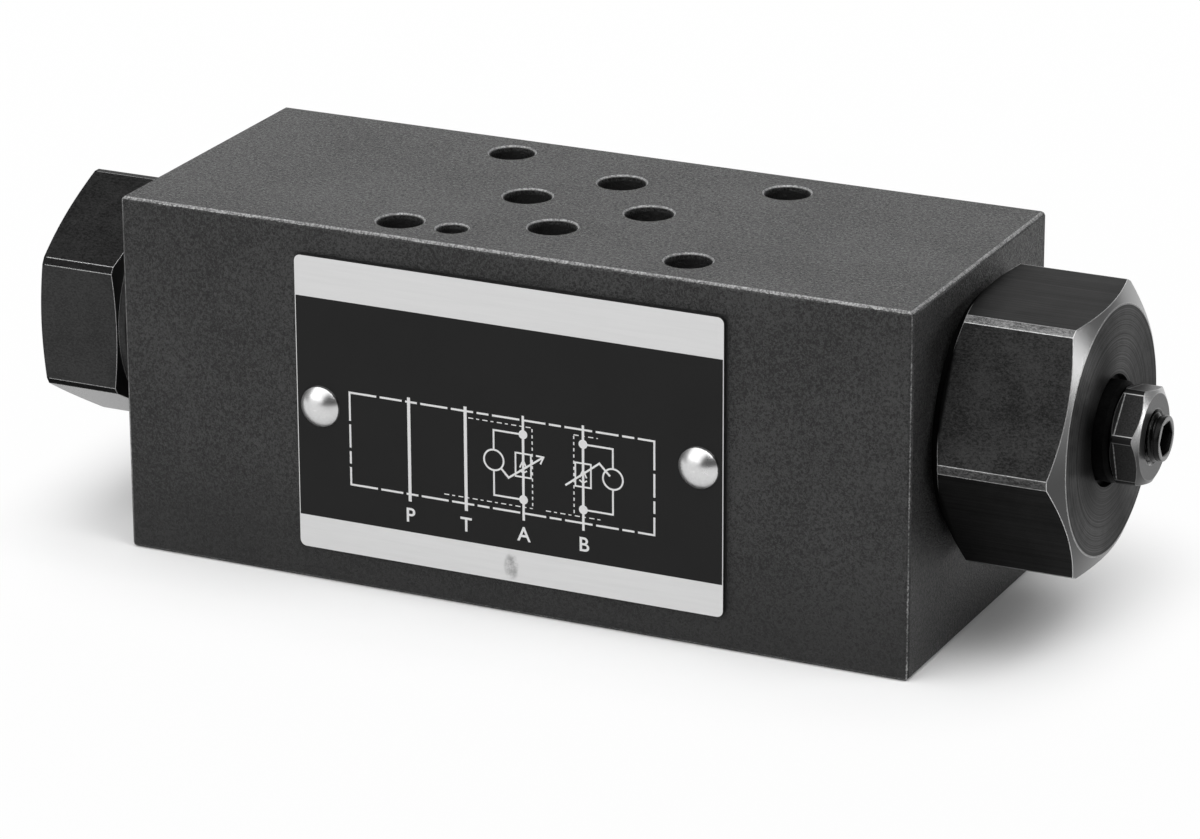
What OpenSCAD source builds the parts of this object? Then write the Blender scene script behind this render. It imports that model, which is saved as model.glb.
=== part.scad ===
// Hydraulic sandwich valve of size 6 with two relief cartridges.
// Frame in mm: the origin is the centre of the mounting pattern on the base face,
// +X runs to the adjuster, -Y is the face with the name plate, +Z is up.

/* [Body] */
// Length of the block along X
body_l = 112; // [104:0.5:140]
// Depth of the block along Y
body_d = 45; // [44:0.5:60]
// Height of the block
body_h = 49; // [46:0.5:70]
// Chamfer on the edges of the block
body_chamfer = 0.5; // [0.2:0.1:1.5]
// Distance of the mounting pattern from the middle of the block, along X
pattern_shift = 2.25; // [-4:0.25:4]

/* [Ports and bolt holes] */
// Diameter of the four port bores
port_d = 6.3; // [4:0.1:7.5]
// Diameter of the four bolt holes
bolt_d = 6; // [5.3:0.1:6.6]
// Diameter of the blind holes for the locating pin
pin_d = 4; // [3:0.1:5]
// Depth of the blind holes for the locating pin
pin_depth = 5; // [3:0.5:9]
// Chamfer on the rims of the holes in the top face
rim_chamfer = 0.3; // [0.1:0.1:0.8]
// Diameter of the ring recess round each port in the base
recess_d = 12.2; // [11:0.1:13]
// Depth of the ring recess round each port in the base
recess_depth = 1.4; // [1.2:0.1:2]
// Play between a port ring and its recess
port_ring_play = 0.03; // [0.01:0.01:0.1]

/* [Cartridge bores] */
// Height of the adjuster axis above the base
adjuster_z = 29; // [24:0.5:29.5]
// Height of the end cap axis above the base
end_z = 27; // [22:0.5:29.5]
// Pitch diameter of the adjuster cap thread
adjuster_thread_d = 26; // [24:0.5:27]
// Pitch diameter of the end cap thread
end_thread_d = 24; // [23:0.5:26]
// Diameter of the bore for a seat sleeve
sleeve_bore_d = 13; // [12.5:0.1:13.5]
// Diameter of the feed hole from a port to its seat sleeve
feed_d = 6; // [4:0.1:8]
// Distance from a port axis to the nose of its seat sleeve
nose_gap = 5.5; // [4.5:0.1:7]
// Diameter of the two drillings back to the tank port
tank_drill_d = 4; // [2.5:0.1:4.4]
// Lean of the tank drillings below the cartridge axis
tank_drill_lean = 27.5; // [10:0.5:40]
// Overlap of the flow groove with the tank drilling
groove_bite = 1; // [0.5:0.1:1.5]

/* [Adjuster cap] */
// Size across the flats of the adjuster cap
adjuster_af = 33.8; // [32:0.1:38]
// Height of the adjuster cap from the block to its end face
adjuster_head_h = 17.95; // [17:0.05:24]
// Height of the round collar under the hexagon of the adjuster cap
adjuster_collar_h = 0.8; // [0.4:0.1:2]
// Turn of the adjuster hexagon about its axis
adjuster_hex_turn = 3.8; // [-30:0.2:30]
// Diameter of the bore that guides the spring guide
guide_bore_d = 14; // [13.4:0.1:15]
// Length of the threaded hole for the adjusting screw
adjuster_thread_l = 7; // [5:0.5:8]
// Diameter of the recess for the seal washer
washer_recess_d = 14.5; // [13.5:0.1:18]
// Depth of the recess for the seal washer
washer_recess_depth = 1; // [0.5:0.1:2]

/* [End cap] */
// Size across the flats of the end cap
end_af = 30; // [29:0.5:36]
// Height of the end cap from the block to its end face
end_head_h = 17.5; // [14:0.1:24]
// Height of the round neck under the hexagon of the end cap
end_neck_h = 5.5; // [2:0.1:8]
// Turn of the end cap hexagon about its axis
end_hex_turn = 0; // [-30:0.2:30]
// Diameter of the spring bore in the end cap
end_bore_d = 12.4; // [11.6:0.1:14]
// Distance of the floor of the spring bore from the block face
end_bore_out = 3; // [1:0.5:8]

/* [Hexagons] */
// Diameter to which the hexagon corners are turned, as a share of the flats
corner_share = 1.135; // [1.1:0.005:1.15]
// Diameter of the flat end faces, as a share of the flats
face_share = 0.958; // [0.9:0.002:0.98]
// Angle of the chamfers on the adjuster hexagon
adjuster_chamfer_angle = 24; // [15:1:35]
// Angle of the chamfers on the end cap hexagon
end_chamfer_angle = 14; // [10:1:35]

/* [Lock nut and screw] */
// Major diameter of the adjusting screw thread
screw_major_d = 7; // [6.6:0.1:8]
// Pitch of the adjusting screw thread
screw_pitch = 1; // [0.5:0.05:1.25]
// Distance of the end of the screw from the outer face of the lock nut
screw_out = 1.6; // [0.5:0.1:6]
// Size across the flats of the key socket in the screw
socket_af = 4; // [3:0.1:4.4]
// Depth of the key socket
socket_depth = 5; // [3:0.5:8]
// Diameter of the plain tip at the outer end of the screw
screw_tip_d = 5.9; // [5.5:0.1:6]
// Length of the plain tip of the screw
screw_tip_l = 0.8; // [0.4:0.1:1]
// Chamfer on the plain tip of the screw
screw_chamfer = 0.15; // [0.1:0.05:0.3]
// Size across the flats of the lock nut
nut_af = 12; // [11.5:0.1:14]
// Height of the lock nut
nut_h = 4; // [3:0.1:6]
// Turn of the lock nut about its axis
nut_turn = 18; // [-30:1:30]
// Outer diameter of the seal washer
washer_d = 13; // [11:0.1:13.3]
// Height of the seal washer between the recess and the nut
washer_h = 2.7; // [2.1:0.1:4]

/* [Cartridge parts] */
// Length of a seat sleeve
sleeve_l = 27.7; // [26.5:0.1:29]
// Diameter of the seat hole in a sleeve
seat_d = 5.2; // [4:0.1:6]
// Thickness of the seat wall at the nose of a sleeve
seat_wall = 4.5; // [4:0.1:5.5]
// Diameter of the poppet guide in a sleeve
poppet_bore_d = 8.4; // [7.8:0.1:9]
// Diameter of the spring bore in a sleeve
spring_bore_d = 11.2; // [11:0.1:11.5]
// Diameter of the cross holes in a sleeve
cross_hole_d = 2.8; // [1.5:0.1:3.5]
// Number of cross holes in a sleeve
cross_holes = 4; // [2:1:6]
// Lift of a sealed poppet off its seat edge in the model
seat_gap = 0.15; // [0.05:0.05:0.3]
// Length of the spring guide
guide_l = 8; // [6.5:0.1:8.4]
// Room left behind the spring guide for turning the screw out
guide_room = 2.5; // [2.2:0.1:4]
// Wire diameter of a relief spring
wire_d = 1.7; // [1:0.1:1.8]
// Outer diameter of a relief spring
spring_d = 10.5; // [9.6:0.1:10.7]
// Number of coils in a relief spring
coils = 7; // [5:1:8]

/* [Rings] */
// Section of the rings under the two caps
cap_ring_section = 2; // [1.5:0.1:2.4]
// Section of the rings on the seat sleeves
sleeve_ring_section = 1.3; // [1:0.1:1.5]
// Section of the ring on the spring guide
guide_ring_section = 1.6; // [1.2:0.1:1.9]

/* [Name plate] */
// Width of the name plate
plate_w = 60.8; // [40:0.2:64]
// Height of the name plate
plate_h = 40.2; // [20:0.2:42]
// Thickness of the name plate
plate_t = 0.6; // [0.3:0.1:1.5]
// Corner radius of the name plate
plate_corner = 0.9; // [0.3:0.1:3]
// Offset of the plate from the middle of the block, along X
plate_shift = 0.45; // [-3:0.05:3]
// Height of the middle of the plate above the base
plate_z = 24.8; // [23:0.1:25]
// Distance between the two rivets
rivet_pitch = 54; // [30:0.5:54]
// Height of the rivets above the middle of the plate
rivet_rise = -0.3; // [-5:0.1:5]
// Head diameter of the rivets
rivet_head_d = 5.8; // [4:0.1:6]
// Head height of the rivets
rivet_head_h = 1.5; // [0.6:0.1:1.9]
// Shank diameter of the rivets
rivet_shank_d = 2.6; // [1.6:0.1:3]
// Length of the rivet shank in the block
rivet_shank_l = 3; // [2:0.1:3.2]

/* [Fits] */
// Radial play of the threads
thread_play = 0.05; // [0.02:0.01:0.1]
// Radial play of sliding pieces
slide_play = 0.05; // [0.02:0.01:0.1]
// Radial play of rings and of pieces that only locate
locate_play = 0.1; // [0.05:0.01:0.15]

/* [Hidden] */
$fn = 72;

// Standard size 6 mounting pattern, turned half round and centred on the origin
PATTERN_MID = [20.25, 15.5];
function pattern(p) = PATTERN_MID - p;
PORT_P = pattern([21.5, 25.9]);
PORT_T = pattern([21.5, 5.1]);
PORT_A = pattern([12.7, 15.5]);
PORT_B = pattern([30.2, 15.5]);
BOLTS = [pattern([0, 0]), pattern([40.5, -0.75]), pattern([40.5, 31.75]), pattern([0, 31])];
PIN = pattern([33, 31.75]);

// Faces of the block
mid_x = -pattern_shift;
right_x = mid_x + body_l / 2;
left_x = mid_x - body_l / 2;
front_y = -body_d / 2;

// Radii shared by mating pieces
adjuster_thread_r = adjuster_thread_d / 2;
end_thread_r = end_thread_d / 2;
sleeve_bore_r = sleeve_bore_d / 2;
sleeve_r = sleeve_bore_r - slide_play;
guide_bore_r = guide_bore_d / 2;
guide_r = guide_bore_r - slide_play;
screw_r = (screw_major_d - 0.6495 * screw_pitch) / 2;
screw_tip_r = min(screw_tip_d / 2, screw_r - 0.1);
nut_bore_r = screw_r + thread_play;
poppet_bore_r = poppet_bore_d / 2;
land_r = poppet_bore_r - slide_play;
seat_r = seat_d / 2;
wire_r = wire_d / 2;
coil_r = spring_d / 2 - wire_r;
spigot_r = coil_r - wire_r - 0.35;

// Lengths of a cartridge, measured from the nose of its sleeve
sleeve_proud = 1;
chamber_l = 6.5;
poppet_guide_l = 7;
poppet_guide_end = seat_wall + chamber_l + poppet_guide_l;
poppet_flange_l = 2;
spring_foot = poppet_guide_end + 1 + poppet_flange_l;
spigot_l = 3;

// Depths seen from the two end faces, negative going into the block
reach_a = right_x - PORT_A[0];
reach_b = PORT_B[0] - left_x;
nose_a = nose_gap - reach_a;
nose_b = nose_gap - reach_b;
shank_end_a = nose_a + sleeve_l;
shank_end_b = nose_b + sleeve_l;
bore_end_a = shank_end_a - sleeve_proud;
bore_end_b = shank_end_b - sleeve_proud;

// Tank drillings, kept between the sleeve bore and the end cap thread
tank_r = tank_drill_d / 2;
tank_off = (sleeve_bore_r + end_thread_r) / 2;
tank_y = tank_off * cos(tank_drill_lean);
tank_drop = tank_off * sin(tank_drill_lean);
groove_r = tank_off - tank_r + groove_bite;
groove_from = seat_wall + 1;
groove_to = seat_wall + chamber_l - 1;

// Stack outside the adjuster cap and inside its bore
guide_floor = adjuster_head_h - adjuster_thread_l;
guide_top = guide_floor - guide_room;
guide_face = guide_top - guide_l;
spring_l = guide_face - nose_a - spring_foot;
shim_face = nose_b + spring_foot + spring_l;
washer_floor = adjuster_head_h - washer_recess_depth;
nut_back = washer_floor + washer_h;
nut_front = nut_back + nut_h;
screw_end = nut_front + screw_out;

// Ring seats under the caps
ring_seat_h = cap_ring_section + 0.2;
function ring_seat_r(thread_r) = thread_r + cap_ring_section + 0.2;
function collar_r(thread_r) = ring_seat_r(thread_r) + 0.6;

rivet_x = [-rivet_pitch / 2, rivet_pitch / 2];
rivet_z = plate_z + rivet_rise;

// A profile of radius and height, turned about the axis
module turned(profile) {
    rotate_extrude() polygon(profile);
}

// A ring of round section
module o_ring(mid_r, section) {
    rotate_extrude() translate([mid_r, 0]) circle(d = section);
}

// The adjuster axis with heights counted outwards from the right face
module on_adjuster_axis(height = 0) {
    translate([right_x + height, 0, adjuster_z]) rotate([0, 90, 0]) children();
}

// The end cap axis with heights counted outwards from the left face
module on_end_axis(height = 0) {
    translate([left_x - height, 0, end_z]) rotate([0, -90, 0]) children();
}

// A rectangle with cut corners
module cut_rectangle(w, h, c) {
    polygon([
        [c - w / 2, -h / 2], [w / 2 - c, -h / 2], [w / 2, c - h / 2], [w / 2, h / 2 - c],
        [w / 2 - c, h / 2], [c - w / 2, h / 2], [-w / 2, h / 2 - c], [-w / 2, c - h / 2]
    ]);
}

// A block with all twelve edges chamfered
module chamfered_block(l, d, h, c) {
    intersection() {
        translate([0, 0, -h / 2]) linear_extrude(h) cut_rectangle(l, d, c);
        rotate([90, 0, 0]) translate([0, 0, -d / 2]) linear_extrude(d) cut_rectangle(l, h, c);
        rotate([90, 0, 90]) translate([0, 0, -l / 2]) linear_extrude(l) cut_rectangle(d, h, c);
    }
}

// Cutter for a hole from base to top with a chamfered rim at both ends
module through_hole(d) {
    r = d / 2;
    c = rim_chamfer;
    turned([[0, -1], [r + c + 1, -1], [r, c], [r, body_h - c], [r + c + 1, body_h + 1], [0, body_h + 1]]);
}

// Cutter for a port bore with its ring recess in the base
module port_hole() {
    r = port_d / 2;
    c = rim_chamfer;
    turned([
        [0, -1], [recess_d / 2, -1], [recess_d / 2, recess_depth], [r, recess_depth],
        [r, body_h - c], [r + c + 1, body_h + 1], [0, body_h + 1]
    ]);
}

// Cutter for the two blind pin holes, one in the base and one in the top
module pin_holes() {
    r = pin_d / 2;
    c = rim_chamfer;
    turned([[0, -1], [r + c + 1, -1], [r, c], [r, pin_depth], [0, pin_depth + 0.3 * r]]);
    turned([
        [0, body_h + 1], [r + c + 1, body_h + 1], [r, body_h - c],
        [r, body_h - pin_depth], [0, body_h - pin_depth - 0.3 * r]
    ]);
}

// Cutter for a stepped cartridge bore, from the end face to the port axis
module cartridge_bore(thread_r, bore_end, nose) {
    seat = ring_seat_r(thread_r);
    turned([
        [0, 1], [seat, 1], [seat, -ring_seat_h], [thread_r, -ring_seat_h], [thread_r, bore_end],
        [sleeve_bore_r, bore_end], [sleeve_bore_r, nose + groove_to], [groove_r, nose + groove_to],
        [groove_r, nose + groove_from], [sleeve_bore_r, nose + groove_from], [sleeve_bore_r, nose],
        [feed_d / 2, nose], [feed_d / 2, nose - nose_gap], [0, nose - nose_gap]
    ]);
}

// Cutter for a drilling from the floor of a cartridge thread to the tank port
module tank_drilling(bore_end, reach) {
    translate([0, 0, -reach]) cylinder(r = tank_r, h = reach + bore_end + 0.1);
}

// A cap hexagon with its corners turned off and both ends chamfered
module turned_hexagon(af, from, to, angle) {
    face_r = af / 2 * face_share;
    corner_r = af / 2 * corner_share;
    c = (corner_r - face_r) * tan(angle);
    intersection() {
        translate([0, 0, from]) cylinder(d = af / cos(30), h = to - from, $fn = 6);
        turned([
            [0, from], [face_r, from], [corner_r, from + c], [corner_r, to - c], [face_r, to], [0, to]
        ]);
    }
}

// A coil spring with closed end turns, standing on its foot
module coil_spring(length) {
    sides = 8;
    steps = 14;
    last = coils * steps;
    closed = 1.1 * wire_d;
    open = (length - wire_d - 2 * closed) / (coils - 2);
    function height(t) = wire_r + (t < 1 ? t * closed
        : t > coils - 1 ? closed + (coils - 2) * open + (t - coils + 1) * closed
        : closed + (t - 1) * open);
    function ring_point(i, j) = let(a = 360 * i / steps, b = 360 * j / sides)
        [(coil_r + wire_r * cos(b)) * cos(a), (coil_r + wire_r * cos(b)) * sin(a),
            height(i / steps) - wire_r * sin(b)];
    points = [for (i = [0:last], j = [0:sides - 1]) ring_point(i, j)];
    walls = [for (i = [0:last - 1], j = [0:sides - 1], half = [0, 1])
        let(n = (j + 1) % sides, p = i * sides, q = p + sides)
        half == 0 ? [p + j, q + j, q + n] : [p + j, q + n, p + n]];
    ends = [[for (j = [0:sides - 1]) j], [for (j = [sides - 1:-1:0]) last * sides + j]];
    polyhedron(points, concat(walls, ends), convexity = 10);
}

// A seat sleeve standing on its nose, with cross holes, ring groove and drain slot
module seat_sleeve() {
    groove_in = sleeve_r - sleeve_ring_section - locate_play;
    chamber_r = poppet_bore_r + 1;
    difference() {
        turned([
            [seat_r, 0], [sleeve_r - 0.3, 0], [sleeve_r, 0.3], [sleeve_r, 1], [groove_in, 1],
            [groove_in, 1.4 + sleeve_ring_section], [sleeve_r, 1.4 + sleeve_ring_section],
            [sleeve_r, sleeve_l], [spring_bore_d / 2, sleeve_l], [spring_bore_d / 2, poppet_guide_end],
            [poppet_bore_r, poppet_guide_end], [poppet_bore_r, seat_wall + chamber_l],
            [chamber_r, seat_wall + chamber_l], [chamber_r, seat_wall], [seat_r, seat_wall]
        ]);
        for (i = [0:cross_holes - 1])
            rotate([0, 0, 45 + 360 * i / cross_holes])
            translate([0, 0, (groove_from + groove_to) / 2])
            rotate([0, 90, 0])
            cylinder(d = cross_hole_d, h = sleeve_r + 1);
        translate([-1, -sleeve_r - 1, sleeve_l - 1.2]) cube([2, 2 * sleeve_r + 2, 2]);
    }
}

// A poppet with a cone on the seat edge, a guide land, a spring flange and a spigot
module poppet() {
    tip_r = seat_r - 1.4;
    cone_foot = seat_wall + seat_gap - seat_r;
    cone_end = cone_foot + land_r;
    neck_r = land_r - 1;
    land_from = seat_wall + chamber_l - 0.5;
    flange_from = poppet_guide_end + 1;
    flange_r = spring_bore_d / 2 - 0.3;
    turned([
        [0, cone_foot + tip_r], [tip_r, cone_foot + tip_r], [land_r, cone_end], [land_r, cone_end + 0.5],
        [neck_r, cone_end + 1], [neck_r, land_from - 0.5], [land_r, land_from], [land_r, flange_from],
        [flange_r, flange_from], [flange_r, spring_foot], [spigot_r, spring_foot],
        [spigot_r, spring_foot + spigot_l - 0.5], [spigot_r - 0.5, spring_foot + spigot_l],
        [0, spring_foot + spigot_l]
    ]);
}

module sleeve_ring() {
    translate([0, 0, 1.2 + sleeve_ring_section / 2])
        o_ring(sleeve_r - sleeve_ring_section / 2 - locate_play / 2, sleeve_ring_section - 0.04);
}

module cap_ring(thread_r) {
    translate([0, 0, -ring_seat_h / 2]) o_ring(thread_r + ring_seat_h / 2, cap_ring_section);
}

module port_ring(port) {
    section = recess_depth - 2 * port_ring_play;
    translate([port[0], port[1], recess_depth / 2])
        o_ring(recess_d / 2 - recess_depth / 2, section);
}

module valve_body() {
    color("#4a4c4e") difference() {
        translate([mid_x, 0, body_h / 2]) chamfered_block(body_l, body_d, body_h, body_chamfer);
        for (port = [PORT_P, PORT_T, PORT_A, PORT_B])
            translate([port[0], port[1], 0]) port_hole();
        for (bolt = BOLTS)
            translate([bolt[0], bolt[1], 0]) through_hole(bolt_d);
        translate([PIN[0], PIN[1], 0]) pin_holes();
        on_adjuster_axis() cartridge_bore(adjuster_thread_r, bore_end_a, nose_a);
        on_end_axis() cartridge_bore(end_thread_r, bore_end_b, nose_b);
        translate([0, tank_y, -tank_drop]) on_adjuster_axis() tank_drilling(bore_end_a, right_x - PORT_T[0]);
        translate([0, tank_y, -tank_drop]) on_end_axis() tank_drilling(bore_end_b, PORT_T[0] - left_x);
        for (x = rivet_x)
            translate([mid_x + plate_shift + x, front_y - 1, rivet_z])
            rotate([-90, 0, 0])
            cylinder(d = rivet_shank_d + 2 * locate_play, h = rivet_shank_l + 1.2);
    }
}

module name_plate() {
    w = plate_w / 2 - plate_corner;
    h = plate_h / 2 - plate_corner;
    color("#c9cacb") translate([mid_x + plate_shift, front_y, plate_z]) rotate([90, 0, 0])
        difference() {
            union() {
                translate([-w, -plate_h / 2, 0]) cube([2 * w, plate_h, plate_t]);
                translate([-plate_w / 2, -h, 0]) cube([plate_w, 2 * h, plate_t]);
                for (x = [-w, w], y = [-h, h])
                    translate([x, y, 0]) cylinder(r = plate_corner, h = plate_t);
            }
            for (x = rivet_x)
                translate([x, rivet_rise, -1])
                cylinder(d = rivet_shank_d + 2 * locate_play, h = plate_t + 2);
        }
}

module plate_rivets() {
    dome_r = (rivet_head_d * rivet_head_d / 4 + rivet_head_h * rivet_head_h) / (2 * rivet_head_h);
    color("#dcdcda")
        for (x = rivet_x)
            translate([mid_x + plate_shift + x, front_y, rivet_z]) rotate([90, 0, 0]) {
                intersection() {
                    translate([0, 0, plate_t + rivet_head_h - dome_r]) sphere(r = dome_r);
                    translate([0, 0, plate_t]) cylinder(d = rivet_head_d + 1, h = rivet_head_h + 1);
                }
                translate([0, 0, -rivet_shank_l])
                    cylinder(d = rivet_shank_d, h = rivet_shank_l + plate_t + 0.2);
            }
}

module adjuster_cap() {
    collar = collar_r(adjuster_thread_r);
    shank = adjuster_thread_r - thread_play;
    color("#262728") on_adjuster_axis() difference() {
        union() {
            turned([[0, shank_end_a], [shank - 1, shank_end_a], [shank, shank_end_a + 1], [shank, 0],
                [collar, 0], [collar, adjuster_collar_h], [0, adjuster_collar_h]]);
            rotate([0, 0, 30 + adjuster_hex_turn])
                turned_hexagon(adjuster_af, adjuster_collar_h, adjuster_head_h, adjuster_chamfer_angle);
        }
        turned([
            [0, shank_end_a - 1], [guide_bore_r + 1.5, shank_end_a - 1], [guide_bore_r, shank_end_a + 0.5],
            [guide_bore_r, guide_floor], [nut_bore_r, guide_floor], [nut_bore_r, washer_floor],
            [washer_recess_d / 2, washer_floor], [washer_recess_d / 2, adjuster_head_h + 1],
            [0, adjuster_head_h + 1]
        ]);
    }
}

module adjuster_cap_o_ring() {
    color("#141414") on_adjuster_axis() cap_ring(adjuster_thread_r);
}

module adjusting_screw() {
    c = screw_chamfer;
    tip_from = screw_end - screw_tip_l;
    color("#1f2021") on_adjuster_axis() difference() {
        turned([
            [0, guide_top], [screw_r - 1.2, guide_top], [screw_r - 1.2, guide_top + 1],
            [screw_r, guide_top + 2], [screw_r, tip_from - screw_r + screw_tip_r], [screw_tip_r, tip_from],
            [screw_tip_r, screw_end - c], [screw_tip_r - c, screw_end], [0, screw_end]
        ]);
        translate([0, 0, screw_end - socket_depth])
            cylinder(d = socket_af / cos(30), h = socket_depth + 1, $fn = 6);
        turned([[0, screw_end - socket_depth - 0.3 * socket_af], [socket_af / 2, screw_end - socket_depth],
            [socket_af / 2, screw_end], [0, screw_end]]);
    }
}

module lock_nut() {
    face_r = nut_af / 2 * 0.93;
    corner_r = nut_af / 2 * corner_share;
    c = (corner_r - face_r) * tan(30);
    sink = nut_bore_r + 0.4;
    color("#303132") on_adjuster_axis(nut_back) difference() {
        intersection() {
            rotate([0, 0, nut_turn]) cylinder(d = nut_af / cos(30), h = nut_h, $fn = 6);
            turned([
                [0, 0], [face_r, 0], [corner_r, c], [corner_r, nut_h - c], [face_r, nut_h], [0, nut_h]
            ]);
        }
        turned([
            [0, -1], [sink + 1, -1], [sink, 0], [nut_bore_r, 0.4], [nut_bore_r, nut_h - 0.4],
            [sink, nut_h], [sink + 1, nut_h + 1], [0, nut_h + 1]
        ]);
    }
}

module seal_washer() {
    inner = nut_bore_r + locate_play;
    outer = washer_d / 2;
    color("#101010") on_adjuster_axis(washer_floor)
        turned([
            [inner, 0], [outer, 0], [outer, washer_h - 0.5], [outer - 0.5, washer_h], [inner, washer_h]
        ]);
}

module spring_guide() {
    groove_in = guide_r - guide_ring_section - locate_play;
    groove_at = guide_face + guide_l / 2 - guide_ring_section / 2;
    color("#5a5c5e") on_adjuster_axis() turned([
        [0, guide_face - spigot_l], [spigot_r - 0.5, guide_face - spigot_l],
        [spigot_r, guide_face - spigot_l + 0.5], [spigot_r, guide_face], [guide_r - 0.3, guide_face],
        [guide_r, guide_face + 0.3], [guide_r, groove_at], [groove_in, groove_at],
        [groove_in, groove_at + guide_ring_section + 0.3], [guide_r, groove_at + guide_ring_section + 0.3],
        [guide_r, guide_top - 0.3], [guide_r - 0.3, guide_top], [0, guide_top]
    ]);
}

module spring_guide_o_ring() {
    color("#141414") on_adjuster_axis(guide_face + guide_l / 2 + 0.15)
        o_ring(guide_r - guide_ring_section / 2 - locate_play / 2, guide_ring_section - 0.04);
}

module relief_spring_a() {
    color("#7c7f82") on_adjuster_axis(nose_a + spring_foot) coil_spring(spring_l);
}

module relief_poppet_a() {
    color("#8c8f92") on_adjuster_axis(nose_a) poppet();
}

module seat_sleeve_a() {
    color("#6c6f72") on_adjuster_axis(nose_a) seat_sleeve();
}

module sleeve_o_ring_a() {
    color("#141414") on_adjuster_axis(nose_a) sleeve_ring();
}

module end_cap() {
    neck = collar_r(end_thread_r);
    shank = end_thread_r - thread_play;
    color("#262728") on_end_axis() difference() {
        union() {
            turned([[0, shank_end_b], [shank - 1, shank_end_b], [shank, shank_end_b + 1], [shank, 0],
                [neck, 0], [neck, end_neck_h], [0, end_neck_h]]);
            rotate([0, 0, end_hex_turn]) turned_hexagon(end_af, end_neck_h, end_head_h, end_chamfer_angle);
        }
        turned([
            [0, shank_end_b - 1], [end_bore_d / 2 + 1.5, shank_end_b - 1],
            [end_bore_d / 2, shank_end_b + 0.5], [end_bore_d / 2, end_bore_out], [0, end_bore_out]
        ]);
    }
}

module end_cap_o_ring() {
    color("#141414") on_end_axis() cap_ring(end_thread_r);
}

module setting_shim() {
    disc_r = end_bore_d / 2 - locate_play;
    color("#5a5c5e") on_end_axis() turned([
        [0, shim_face - spigot_l], [spigot_r - 0.5, shim_face - spigot_l],
        [spigot_r, shim_face - spigot_l + 0.5], [spigot_r, shim_face], [disc_r, shim_face],
        [disc_r, end_bore_out], [0, end_bore_out]
    ]);
}

module relief_spring_b() {
    color("#7c7f82") on_end_axis(nose_b + spring_foot) coil_spring(spring_l);
}

module relief_poppet_b() {
    color("#8c8f92") on_end_axis(nose_b) poppet();
}

module seat_sleeve_b() {
    color("#6c6f72") on_end_axis(nose_b) seat_sleeve();
}

module sleeve_o_ring_b() {
    color("#141414") on_end_axis(nose_b) sleeve_ring();
}

module port_o_ring_p() {
    color("#141414") port_ring(PORT_P);
}

module port_o_ring_t() {
    color("#141414") port_ring(PORT_T);
}

module port_o_ring_a() {
    color("#141414") port_ring(PORT_A);
}

module port_o_ring_b() {
    color("#141414") port_ring(PORT_B);
}

valve_body();
name_plate();
plate_rivets();
adjuster_cap();
adjuster_cap_o_ring();
adjusting_screw();
lock_nut();
seal_washer();
spring_guide();
spring_guide_o_ring();
relief_spring_a();
relief_poppet_a();
seat_sleeve_a();
sleeve_o_ring_a();
end_cap();
end_cap_o_ring();
setting_shim();
relief_spring_b();
relief_poppet_b();
seat_sleeve_b();
sleeve_o_ring_b();
port_o_ring_p();
port_o_ring_t();
port_o_ring_a();
port_o_ring_b();
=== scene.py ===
import math

import bmesh
import bpy
from mathutils import Matrix, Vector


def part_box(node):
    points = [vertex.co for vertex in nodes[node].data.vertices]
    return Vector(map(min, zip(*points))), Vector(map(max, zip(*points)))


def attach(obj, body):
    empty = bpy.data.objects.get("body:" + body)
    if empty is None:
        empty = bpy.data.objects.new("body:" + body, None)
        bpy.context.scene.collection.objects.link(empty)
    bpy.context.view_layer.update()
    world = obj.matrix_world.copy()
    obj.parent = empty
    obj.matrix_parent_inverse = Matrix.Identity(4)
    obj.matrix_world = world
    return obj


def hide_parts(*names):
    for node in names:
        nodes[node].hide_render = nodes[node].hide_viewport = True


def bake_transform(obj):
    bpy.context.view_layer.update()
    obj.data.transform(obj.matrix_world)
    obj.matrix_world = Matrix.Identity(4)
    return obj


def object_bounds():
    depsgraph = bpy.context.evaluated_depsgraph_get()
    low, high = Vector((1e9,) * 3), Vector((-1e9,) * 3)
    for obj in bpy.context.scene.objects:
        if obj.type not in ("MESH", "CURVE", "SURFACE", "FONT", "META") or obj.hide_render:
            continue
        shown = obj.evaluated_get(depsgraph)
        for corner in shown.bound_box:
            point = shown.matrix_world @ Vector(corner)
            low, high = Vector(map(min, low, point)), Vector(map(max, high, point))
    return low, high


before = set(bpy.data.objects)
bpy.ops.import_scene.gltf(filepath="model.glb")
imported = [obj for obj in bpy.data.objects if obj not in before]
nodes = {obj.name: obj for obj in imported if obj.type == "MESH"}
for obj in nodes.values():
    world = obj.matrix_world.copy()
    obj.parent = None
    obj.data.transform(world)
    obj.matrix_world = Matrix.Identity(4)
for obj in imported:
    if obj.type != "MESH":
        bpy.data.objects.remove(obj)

cad_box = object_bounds()
scene = bpy.context.scene
MM = 0.001

# Places in millimetres, as in the part's source
BODY_X, BODY_HALF = -2.25, (56.0, 22.5, 24.5)
ADJUSTER_Z, END_Z = 29.0, 27.0
PLATE_FRONT = -23.1
RIVETS, RIVET_CUT = ((-28.8, 24.5), (25.2, 24.5)), 2.88
# The nut's turned corner band, and where the painted highlight line crosses its flats
NUT_BAND, NUT_HIGHLIGHT_LINE = 6.68, 74.3
FIELD_LOW, FIELD_HIGH, FIELD_THICK = (-32.08, 9.15), (28.47, 39.38), 0.04
PLATE_CENTRE, PLATE_HALF = (-1.8, 24.8), (30.4, 20.1)


# Materials

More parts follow.
